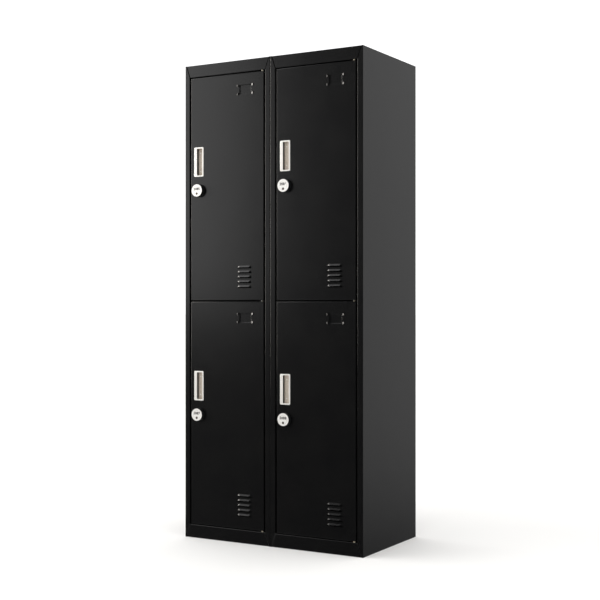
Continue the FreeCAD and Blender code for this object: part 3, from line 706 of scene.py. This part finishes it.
def lock_collar(name, door):
    """Collar on the door's face and the barrel that goes through it."""
    low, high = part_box(door + "_lock_body")
    axis = lock_axis(door)
    radius = (high.x - low.x) / 2
    collar = add_disc(name, axis, radius, low.y, low.y + COLLAR_HEIGHT)
    select(collar, "FACE", lambda m, n: n.y > 0.9)
    inset(radius - BARREL_RADIUS)
    push((0, high.y - low.y - COLLAR_HEIGHT, 0))
    deselect()
    bevel(collar, 0.8 * MM, 3, lambda m, d: near(m.y, low.y) or near(m.y, high.y))
    cut(collar, add_disc("bore", axis, SHAFT_RADIUS + RUNNING_FIT, low.y - MM, high.y + MM))
    return collar


def knob_grip(name, door):
    """Moulded knob: smooth rim, ribbed side, shaft and the square that drives the cam."""
    low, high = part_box(door + "_lock_knob")
    axis = lock_axis(door)
    radius = (high.x - low.x) / 2
    back_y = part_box(door + "_lock_body")[0].y - KNOB_GAP
    cam_y = high.y - CAM_THICKNESS
    knob = add_disc(name, axis, radius, low.y, back_y, RIBS)
    select(knob, "FACE", lambda m, n: n.y > 0.9)
    inset(radius - SHAFT_RADIUS)
    push((0, cam_y - back_y, 0))
    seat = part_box(door + "_knob_face")[1]
    select(knob, "FACE", lambda m, n: n.y < -0.9)
    inset(radius - (seat.x - axis[0]) - RUNNING_FIT)
    push((0, seat.y - low.y, 0))
    deselect()
    bevel(knob, 0.35 * MM, 2, lambda m, d: near(m.y, low.y))
    rib_y, rib_end = low.y + RIB_FROM_FRONT, back_y - RIB_FROM_BACK

    def on_rim(m):
        outside = math.hypot(m.x - axis[0], m.z - axis[1]) > radius - 0.5 * MM
        return outside and low.y + MM < m.y < back_y

    for y in (rib_y, rib_end):
        select(knob, "FACE", lambda m, n: on_rim(m) and abs(n.y) < 0.1)
        bpy.ops.mesh.bisect(plane_co=(0, y, 0), plane_no=(0, 1, 0))

    def groove(m, n):
        angle = math.atan2(m.z - axis[1], m.x - axis[0])
        return on_rim(m) and rib_y < m.y < rib_end and round(angle / math.tau * RIBS - 0.5) % 2 == 0

    select(knob, "FACE", groove)
    bpy.ops.mesh.inset(thickness=RIB_GAP, depth=-RIB_DEPTH, use_individual=True)
    deselect()
    half = TENON / 2
    tenon = add_block("tenon", (axis[0] - half, cam_y - MM, axis[1] - half),
                      (axis[0] + half, high.y, axis[1] + half))
    bevel(tenon, 0.3 * MM, 2, lambda m, d: near(m.y, high.y))
    cut(knob, plug_cutter(door, low.y - MM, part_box(door + "_key_plug")[1].y + 0.3 * MM))
    return join(knob, tenon)


def knob_disc(name, door):
    """Spun metal disc with a raised rim, let into the front of the knob."""
    low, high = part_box(door + "_knob_face")
    axis = lock_axis(door)
    radius = (high.x - low.x) / 2
    disc = add_disc(name, axis, radius, low.y, high.y, 96)
    select(disc, "FACE", lambda m, n: n.y < -0.9)
    inset(DISC_RIM)
    push((0, DISC_SUNK, 0))
    deselect()
    bevel(disc, 0.12 * MM, 2, lambda m, d: m.y < low.y + 0.2 * MM)
    cut(disc, plug_cutter(door, low.y - MM, high.y + MM))
    return disc


def key_barrel(name, door):
    """Key plug with a turned edge and its keyway."""
    low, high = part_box(door + "_key_plug")
    axis = axis_of(door + "_key_plug")
    width, length, depth = KEYWAY
    plug = add_disc(name, axis, PLUG_RADIUS, low.y, high.y, 48)
    bevel(plug, 0.4 * MM, 2, lambda m, d: near(m.y, low.y))
    slot = add_block("keyway", (axis[0] - width / 2, low.y - MM, axis[1] - length / 2),
                     (axis[0] + width / 2, low.y + depth, axis[1] + length / 2))
    ward = add_block("ward", (axis[0], low.y - MM, axis[1] - WARD[1] / 2),
                     (axis[0] + WARD[0], low.y + depth, axis[1] + WARD[1] / 2))
    cut(plug, slot, ward)
    return plug


def locker_number(name, door, text):
    """Locker's number, printed on the disc above its middle."""
    front_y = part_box(door + "_knob_face")[0].y
    x, z = lock_axis(door)
    deselect()
    bpy.ops.object.text_add(location=(x, front_y + 0.1 * MM, z + NUMBER_ABOVE_AXIS),
                            rotation=(QUARTER, 0, 0))
    label = bpy.context.object
    label.data.body = text
    label.data.size = NUMBER_SIZE
    label.data.offset = NUMBER_WEIGHT
    label.data.space_character = 1.1
    label.data.extrude = 0.06 * MM
    label.data.align_x = "CENTER"
    label.data.align_y = "CENTER"
    take(label)
    bpy.ops.object.convert(target="MESH")
    bpy.context.view_layer.objects.active = label
    return settle(name)


# ---------------------------------------------------------------- materials
def srgb(code):
    """sRGB hex to a linear colour."""
    parts = [int(code[i:i + 2], 16) / 255.0 for i in (1, 3, 5)]
    return [c / 12.92 if c <= 0.04045 else ((c + 0.055) / 1.055) ** 2.4 for c in parts] + [1.0]


def node(material, kind, settings, feeds):
    """Adds a node to a material: settings are its properties, feeds its inputs."""
    tree = material.node_tree
    made = tree.nodes.new(kind)
    for key, value in settings.items():
        setattr(made, key, value)
    for key, value in feeds.items():
        if isinstance(value, bpy.types.NodeSocket):
            tree.links.new(value, made.inputs[key])
        else:
            made.inputs[key].default_value = value
    return made


def finish_of(name, **values):
    """Material whose constant numbers are set on the shader's own sockets."""
    material = bpy.data.materials.new(name)
    material.use_nodes = True
    shader = material.node_tree.nodes["Principled BSDF"]
    for key, value in values.items():
        shader.inputs[key.replace("_", " ")].default_value = value
    return material, shader


def feed(material, socket, source):
    material.node_tree.links.new(source, socket)


def object_place(material):
    return node(material, "ShaderNodeTexCoord", {}, {}).outputs["Object"]


def cloud(material, place, size, detail=2.0, roughness=0.5):
    """Noise whose features are about this many metres across."""
    return node(material, "ShaderNodeTexNoise", {}, {"Vector": place, "Scale": 1.0 / size,
                "Detail": detail, "Roughness": roughness}).outputs["Fac"]


def ramp(material, source, low, high, to_low, to_high):
    """Maps one range of a pattern onto another."""
    return node(material, "ShaderNodeMapRange", {},
                {"Value": source, "From Min": low, "From Max": high, "To Min": to_low,
                 "To Max": to_high}).outputs["Result"]


def blend_colours(material, factor, first, second):
    mixer = node(material, "ShaderNodeMix", {"data_type": "RGBA"}, {"Factor": factor})
    for socket, value in ((6, first), (7, second)):
        if isinstance(value, bpy.types.NodeSocket):
            feed(material, mixer.inputs[socket], value)
        else:
            mixer.inputs[socket].default_value = value
    return mixer.outputs[2]


def relief(material, height, depth, strength=1.0, under=None):
    """Bump of a real depth in metres; under is a coarser relief below it."""
    feeds = {"Height": height, "Distance": depth, "Strength": strength}
    if under is not None:
        feeds["Normal"] = under
    return node(material, "ShaderNodeBump", {}, feeds).outputs["Normal"]


def stretch(material, place, **settings):
    """Place with some axes drawn out, for lines and scratches."""
    return node(material, "ShaderNodeMapping", {}, {"Vector": place, **settings}).outputs[0]


def two_tone(material, pattern, first, second, low=0.3, high=0.7):
    """Colour that a pattern takes from one hex tone to another."""
    return blend_colours(material, ramp(material, pattern, low, high, 0.0, 1.0), srgb(first), srgb(second))


def dress(material, shader, colour, gloss=None, normal=None):
    """Feeds colour, roughness and relief to the shader."""
    for socket, source in (("Base Color", colour), ("Roughness", gloss), ("Normal", normal)):
        if source is not None:
            feed(material, shader.inputs[socket], source)
    return material


def black_powder_coat():
    """Satin black polyester powder, sprayed and baked on steel.

    It gives a deep, even black with a broad sheen. Its orange peel is 1 to 2 mm across and is drawn
    at 3 mm, the smallest that shows, over a 5 mm change of gloss; the sheet's own waves, 160 mm long,
    bend the sheen a little. Handling leaves patches a touch glossier, and dust settles on what faces up.
    """
    material, shader = finish_of("satin_black_powder_coat", Roughness=0.26, IOR=1.5)
    place = object_place(material)
    patches = cloud(material, place, 90 * MM, 3.0)
    fine = cloud(material, place, 5 * MM, 2.0)
    tone = two_tone(material, patches, "#09090a", "#0b0b0b")
    up = node(material, "ShaderNodeSeparateXYZ", {},
              {"Vector": node(material, "ShaderNodeNewGeometry", {}, {}).outputs["Normal"]}).outputs["Z"]
    grit = cloud(material, place, 14 * MM, 5.0, 0.65)
    dust = node(material, "ShaderNodeMath", {"operation": "MULTIPLY"},
                {0: ramp(material, up, 0.85, 1.0, 0.0, 0.22),
                 1: ramp(material, grit, 0.35, 0.75, 0.2, 1.0)}).outputs[0]
    gloss = node(material, "ShaderNodeMath", {"operation": "ADD"},
                 {0: ramp(material, patches, 0.25, 0.75, 0.23, 0.255),
                  1: ramp(material, fine, 0.3, 0.7, -0.012, 0.012)}).outputs[0]
    waves = relief(material, cloud(material, place, 160 * MM, 1.0), 0.35 * MM)
    peel = relief(material, cloud(material, place, 3 * MM, 1.0), 0.03 * MM, 0.6, waves)
    return dress(material, shader, blend_colours(material, dust, tone, srgb("#4b4843")), gloss, peel)


def silver_plating():
    """Satin silver plating on moulded ABS: pale, slightly warm, with the mould's fine grain.

    The plating is thin and milky, so it is partly diffuse. Fine drag lines run up the handle, drawn
    1.5 mm apart, and finger marks dull it in patches.
    """
    material, shader = finish_of("satin_silver_plated_abs", Metallic=0.42, Roughness=0.3)
    place = object_place(material)
    lines = cloud(material, stretch(material, place, Scale=(1.0, 1.0, 0.06)), 1.5 * MM, 2.0)
    marks = cloud(material, place, 16 * MM, 3.0)
    return dress(material, shader, two_tone(material, marks, "#fbf9f4", "#f1eee7"),
                 ramp(material, marks, 0.3, 0.7, 0.27, 0.36), relief(material, lines, 0.02 * MM, 0.5))


def cup_finish():
    """Cup and back of the handle: the same plated ABS, drawn in a darker warm grey as painted shade for the
    recess, matt and a little mottled.
    """
    material, shader = finish_of("warm_grey_cup_painted_shade", Metallic=0.2, Roughness=0.5)
    mottle = cloud(material, object_place(material), 6 * MM, 4.0, 0.6)
    return dress(material, shader, two_tone(material, mottle, "#d6ccc0", "#c2b8ab"),
                 ramp(material, mottle, 0.3, 0.7, 0.44, 0.56), relief(material, mottle, 0.05 * MM, 0.5))


def spun_disc():
    """Satin anodised aluminium, turned: rings round the lock's axis, 0.3 mm apart on the real disc
    and drawn 1.1 mm apart. It reads its own flat map, in metres from the axis."""
    material, shader = finish_of("turned_anodised_aluminium", Metallic=0.4, Roughness=0.32)
    place = node(material, "ShaderNodeUVMap", {"uv_map": "turning"}, {}).outputs["UV"]
    radius = node(material, "ShaderNodeVectorMath", {"operation": "LENGTH"}, {0: place}).outputs["Value"]
    rings = node(material, "ShaderNodeTexNoise", {"noise_dimensions": "1D"},
                 {"W": radius, "Scale": 1.0 / (1.1 * MM), "Detail": 2.0}).outputs["Fac"]
    return dress(material, shader, two_tone(material, rings, "#fbf9f5", "#f3f0ea", 0.35, 0.65),
                 ramp(material, rings, 0.3, 0.7, 0.27, 0.37), relief(material, rings, 0.02 * MM, 0.6))


def number_ink():
    """Screen-printed grey-black ink, thin and a little uneven, so the metal warms it."""
    material, shader = finish_of("printed_ink", Roughness=0.55)
    uneven = cloud(material, object_place(material), 1.2 * MM, 3.0)
    return dress(material, shader, two_tone(material, uneven, "#24211e", "#3b3733"),
                 ramp(material, uneven, 0.3, 0.7, 0.5, 0.62))


def lock_abs():
    """Black injection-moulded ABS with a fine spark texture, 0.2 mm grain drawn at 0.8 mm."""
    material, shader = finish_of("black_moulded_abs", Roughness=0.38, IOR=1.53)
    place = object_place(material)
    grain = cloud(material, place, 0.8 * MM, 2.0)
    tone = cloud(material, place, 20 * MM, 2.0)
    return dress(material, shader, two_tone(material, tone, "#0e0e0f", "#171717"),
                 ramp(material, grain, 0.3, 0.7, 0.34, 0.45), relief(material, grain, 0.02 * MM, 0.5))


def zinc_plate():
    """Bright zinc plate on steel: bluish grey with cloudy passivation and a soft shine."""
    material, shader = finish_of("zinc_plated_steel", Metallic=1.0, Roughness=0.36)
    place = object_place(material)
    clouds = cloud(material, place, 5 * MM, 3.0)
    grain = cloud(material, place, 1.5 * MM)
    return dress(material, shader, two_tone(material, clouds, "#b9bdc1", "#9fa3a6"),
                 ramp(material, clouds, 0.3, 0.7, 0.3, 0.45), relief(material, grain, 0.02 * MM, 0.4))


def plug_nickel():
    """Nickel-plated brass of the key plug, dulled by keys: fine scratches across its face."""
    material, shader = finish_of("dull_nickel_plated_brass", Metallic=1.0, Roughness=0.4)
    drawn = stretch(material, object_place(material), Rotation=(0, 0.6, 0), Scale=(1.0, 1.0, 0.1))
    scratches = cloud(material, drawn, 0.7 * MM, 3.0)
    return dress(material, shader, two_tone(material, scratches, "#756b5c", "#5b5348"),
                 ramp(material, scratches, 0.3, 0.7, 0.32, 0.5),
                 relief(material, scratches, 0.02 * MM, 0.5))


def natural_nylon():
    """Natural nylon of the hinge bushes: milky cream, waxy, faintly cloudy."""
    material, shader = finish_of("natural_nylon", Roughness=0.42, IOR=1.53, Subsurface_Weight=0.15,
                                 Subsurface_Radius=(2.0 * MM, 1.5 * MM, 1.0 * MM), Subsurface_Scale=1.0)
    place = object_place(material)
    clouds = cloud(material, place, 4 * MM, 2.0)
    grain = cloud(material, place, 1.2 * MM)
    return dress(material, shader, two_tone(material, clouds, "#b9b09d", "#a89e89"),
                 ramp(material, clouds, 0.3, 0.7, 0.38, 0.48), relief(material, grain, 0.02 * MM, 0.4))


def buffer_rubber():
    """Moulded EPDM rubber: dull charcoal with a bloom that greys it in patches."""
    material, shader = finish_of("moulded_epdm_rubber", Roughness=0.8, IOR=1.5)
    bloom = cloud(material, object_place(material), 3 * MM, 4.0, 0.6)
    return dress(material, shader, two_tone(material, bloom, "#1a1a1b", "#2c2c2d", 0.35, 0.75),
                 ramp(material, bloom, 0.3, 0.7, 0.72, 0.88), relief(material, bloom, 0.05 * MM, 0.5))


def chromed_tube():
    """Chromed steel tube of the coat rails: mirror bright, with hanger rub lines, drawn 3 mm apart."""
    material, shader = finish_of("chromed_steel_tube", Metallic=1.0, Roughness=0.12)
    rubs = cloud(material, stretch(material, object_place(material), Scale=(1.0, 0.1, 0.1)), 3 * MM, 3.0)
    return dress(material, shader, two_tone(material, rubs, "#dadddf", "#c6c9cb", 0.35, 0.7),
                 ramp(material, rubs, 0.4, 0.75, 0.08, 0.26), relief(material, rubs, 0.01 * MM, 0.3))


def socket_plastic():
    """Black polypropylene of the rail sockets, slightly waxy, with a moulded grain drawn at 1 mm."""
    material, shader = finish_of("black_polypropylene", Roughness=0.48, IOR=1.49)
    place = object_place(material)
    grain = cloud(material, place, 1.0 * MM, 2.0)
    tone = cloud(material, place, 12 * MM, 2.0)
    return dress(material, shader, two_tone(material, tone, "#151516", "#1f1f20"),
                 ramp(material, grain, 0.3, 0.7, 0.43, 0.55), relief(material, grain, 0.03 * MM, 0.5))


def studio_floor():
    """Pale matt studio floor."""
    material, shader = finish_of("pale_matt_floor", Roughness=0.9, Specular_IOR_Level=0.1)
    soft = cloud(material, object_place(material), 0.8, 2.0)
    return dress(material, shader, two_tone(material, soft, "#f6f5f3", "#f3f2f0"))


FINISHES = {"black_powder_coat": black_powder_coat(), "handle_plating": silver_plating(),
            "satin_nickel": spun_disc(), "lock_housing": lock_abs(), "zinc_plated_steel": zinc_plate(),
            "nylon": natural_nylon(), "buffer_rubber": buffer_rubber(), "chromed_tube": chromed_tube(),
            "socket_plastic": socket_plastic()}
# the cup's material is a darker copy of the handle's plating, painted shade for the recess
CUP_PAINTED_SHADE, INK, PLUG_METAL = cup_finish(), number_ink(), plug_nickel()


def place_piece(piece, body, slot, *nodes, material=None):
    """Rides a finished piece on its body, in its finish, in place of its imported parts."""
    if material is not None or not piece.data.materials:
        piece.data.materials.clear()
        piece.data.materials.append(material or FINISHES[slot])
    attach(piece, body)
    if nodes:
        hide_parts(*nodes)
    return piece


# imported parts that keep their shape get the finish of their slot
for packed in frame["nodes"].values():
    for material_slot in packed.material_slots:
        material_slot.material = FINISHES[material_slot.material.name.split(".")[0]]

# ---------------------------------------------------------------- the carcass, built for each module in turn
for module, x in MODULE_X.items():
    step = (x - MODULE_X["left"], 0, 0)
    made = {"left_side": side_panel(module + "_left_side_panel", x, 1),
            "right_side": side_panel(module + "_right_side_panel", x + MODULE_WIDTH, -1),
            "top": top_panel(module + "_top_panel", x),
            "bottom": bottom_panel(module + "_bottom_panel", x),
            "shelf": shelf(module + "_shelf_panel", x),
            "back": back_panel(module + "_back_panel", module + "_module_back")}
    inner_side = "right_side" if module == "left" else "left_side"
    cut(made[inner_side], *bolt_cutters(MODULE_X["right"]))
    for part, piece in made.items():
        smooth(piece)
        place_piece(piece, "root", "black_powder_coat", module + "_module_" + part)

bushes = hinge_bushes("hinge_bush_collars")
smooth(bushes)
place_piece(bushes, "root", "nylon", "hinge_bushes")

# ---------------------------------------------------------------- doors, handles and locks
patterns = {"door_skin": door_skin("door_skin", PATTERN_DOOR),
            "stiffener": stiffener("stiffener", PATTERN_DOOR + "_door_stiffener"),
            "handle": pull_handle("handle", PATTERN_DOOR + "_pull_handle"),
            "collar": lock_collar("collar", PATTERN_DOOR),
            "knob": knob_grip("knob", PATTERN_DOOR),
            "disc": knob_disc("disc", PATTERN_DOOR),
            "plug": key_barrel("plug", PATTERN_DOOR)}
for piece in patterns.values():
    smooth(piece)

# the disc's flat map, in metres from the lock's axis
disc_mesh = patterns["disc"].data
axis_x, axis_z = lock_axis(PATTERN_DOOR)
turning = disc_mesh.uv_layers.new(name="turning")
for loop in disc_mesh.loops:
    spot = disc_mesh.vertices[loop.vertex_index].co
    turning.data[loop.index].uv = (spot.x - axis_x, spot.z - axis_z)
for layer in [u for u in disc_mesh.uv_layers if u.name != "turning"]:
    disc_mesh.uv_layers.remove(layer)

# everything of the handle behind the door's skin, the cup with it, takes a darker warm-grey copy of the
# plating: painted shade for the recess
handle_mesh = patterns["handle"].data
handle_mesh.materials.append(CUP_PAINTED_SHADE)
shaded_cup_slot = len(handle_mesh.materials) - 1
skin_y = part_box(PATTERN_DOOR + "_pull_handle")[0].y + HANDLE_PROUD
for face in handle_mesh.polygons:
    if face.material_index == 0 and face.center.y > skin_y + 0.01 * MM:
        face.material_index = shaded_cup_slot

RIDES = {"door_skin": ("door", "black_powder_coat", "door_panel"),
         "stiffener": ("door", "black_powder_coat", "door_stiffener"),
         "handle": ("door", "handle_plating", "pull_handle"),
         "collar": ("door", "lock_housing", "lock_body"),
         "knob": ("knob", "lock_housing", "lock_knob"),
         "disc": ("knob", "satin_nickel", "knob_face"),
         "plug": ("key_plug", "satin_nickel", "key_plug")}
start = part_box(PATTERN_DOOR + "_door_stiffener")[0]
for number, door in enumerate(DOORS, FIRST_NUMBER):
    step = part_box(door + "_door_stiffener")[0] - start
    for kind, (body, slot, packed) in RIDES.items():
        piece = copy_to(patterns[kind], door + "_" + kind, step)
        place_piece(piece, door + "_" + body, slot, door + "_" + packed,
                    material=PLUG_METAL if kind == "plug" else None)
    digits = locker_number(door + "_number", door, str(number))
    place_piece(digits, door + "_knob", "lock_housing", material=INK)
for piece in patterns.values():
    bpy.data.objects.remove(piece)

# ---------------------------------------------------------------- floor, light and camera
deselect()
bpy.ops.mesh.primitive_plane_add(size=160.0, location=(0, 0, FLOOR - 0.2 * MM))
floor = settle("studio_floor")
floor.data.materials.append(studio_floor())
floor.visible_glossy = False


def softbox(name, place, aim, width, height, power, colour=(1.0, 1.0, 1.0)):
    """Rectangular studio light, turned to face a point."""
    light = bpy.data.lights.new(name, "AREA")
    light.shape = "RECTANGLE"
    light.size, light.size_y = width, height
    light.energy = power
    light.color = colour
    lamp = bpy.data.objects.new(name, light)
    bpy.context.scene.collection.objects.link(lamp)
    lamp.location = place
    lamp.rotation_euler = (Vector(aim) - Vector(place)).to_track_quat("-Z", "Y").to_euler()
    lamp.visible_camera = False
    return lamp


softbox("front_left_softbox", (-2.82, -2.8, 2.0), (-0.3, 0, 1.3), 1.9, 2.35, 20.5)
edge_light = softbox("left_softbox", (-3.5, -1.2, 1.75), (-0.1, -0.2, 1.2), 1.0, 2.4, 86.0,
                     (1.0, 0.95, 0.88))
edge_light.visible_diffuse = False
softbox("overhead_softbox", (-1.7, -1.0, 3.2), (-0.1, -0.25, 0.9), 1.6, 1.6, 16.0)

world = bpy.data.worlds.new("studio")
bpy.context.scene.world = world
world.use_nodes = True
sky = world.node_tree
sky.nodes.clear()
direction = sky.nodes.new("ShaderNodeTexCoord")
split = sky.nodes.new("ShaderNodeSeparateXYZ")
sky.links.new(direction.outputs["Generated"], split.inputs[0])


def sky_ramp(source, low, high, to_low, to_high):
    made = sky.nodes.new("ShaderNodeMapRange")
    sky.links.new(source, made.inputs["Value"])
    for key, value in (("From Min", low), ("From Max", high), ("To Min", to_low), ("To Max", to_high)):
        made.inputs[key].default_value = value
    return made.outputs["Result"]


def sky_math(operation, first, second):
    made = sky.nodes.new("ShaderNodeMath")
    made.operation = operation
    sky.links.new(first, made.inputs[0])
    sky.links.new(second, made.inputs[1])
    return made.outputs[0]


# what shines in the paint: dim in front, brighter behind, fading below the horizon
in_front = sky_math("ADD", sky_ramp(split.outputs["Z"], -0.15, 0.2, 0.0, 0.03),
                    sky_ramp(split.outputs["X"], -0.6, -0.49, 0.12, 0.0))
horizon = sky_ramp(split.outputs["Z"], -0.225, -0.13, 0.05, 0.52)
behind = sky_math("ADD", horizon, sky_ramp(split.outputs["Z"], -0.13, 0.2, 0.0, 0.22))
floor_glow = sky_ramp(split.outputs["Z"], -0.3, -0.6, 0.0, 0.6)
share = sky_ramp(split.outputs["Y"], -0.3, 0.5, 0.0, 1.0)
facing = sky_ramp(split.outputs["Y"], -0.3, 0.5, 1.0, 0.0)
shine = sky.nodes.new("ShaderNodeBackground")
around = sky_math("ADD", sky_math("MULTIPLY", in_front, facing), sky_math("MULTIPLY", behind, share))
sky.links.new(sky_math("ADD", around, floor_glow), shine.inputs["Strength"])
white = sky.nodes.new("ShaderNodeBackground")
white.inputs["Strength"].default_value = 1.25
white.inputs["Color"].default_value = (1.0, 1.0, 1.0, 1.0)
ray = sky.nodes.new("ShaderNodeLightPath")
mixed = sky.nodes.new("ShaderNodeMixShader")
sky.links.new(ray.outputs["Is Glossy Ray"], mixed.inputs[0])
sky.links.new(white.outputs[0], mixed.inputs[1])
sky.links.new(shine.outputs[0], mixed.inputs[2])
out = sky.nodes.new("ShaderNodeOutputWorld")
sky.links.new(mixed.outputs[0], out.inputs["Surface"])

camera = bpy.data.objects.new("camera", bpy.data.cameras.new("camera"))
bpy.context.scene.collection.objects.link(camera)
camera.location = (2.281, -3.9896, 0.8932)
camera.rotation_euler = (QUARTER, 0, math.radians(30.83))
camera.data.lens = 72.09
camera.data.sensor_width = 36.0
camera.data.shift_x = 0.0383
camera.data.shift_y = 0.0056
bpy.context.scene.camera = camera
bpy.context.scene.view_settings.view_transform = "Standard"
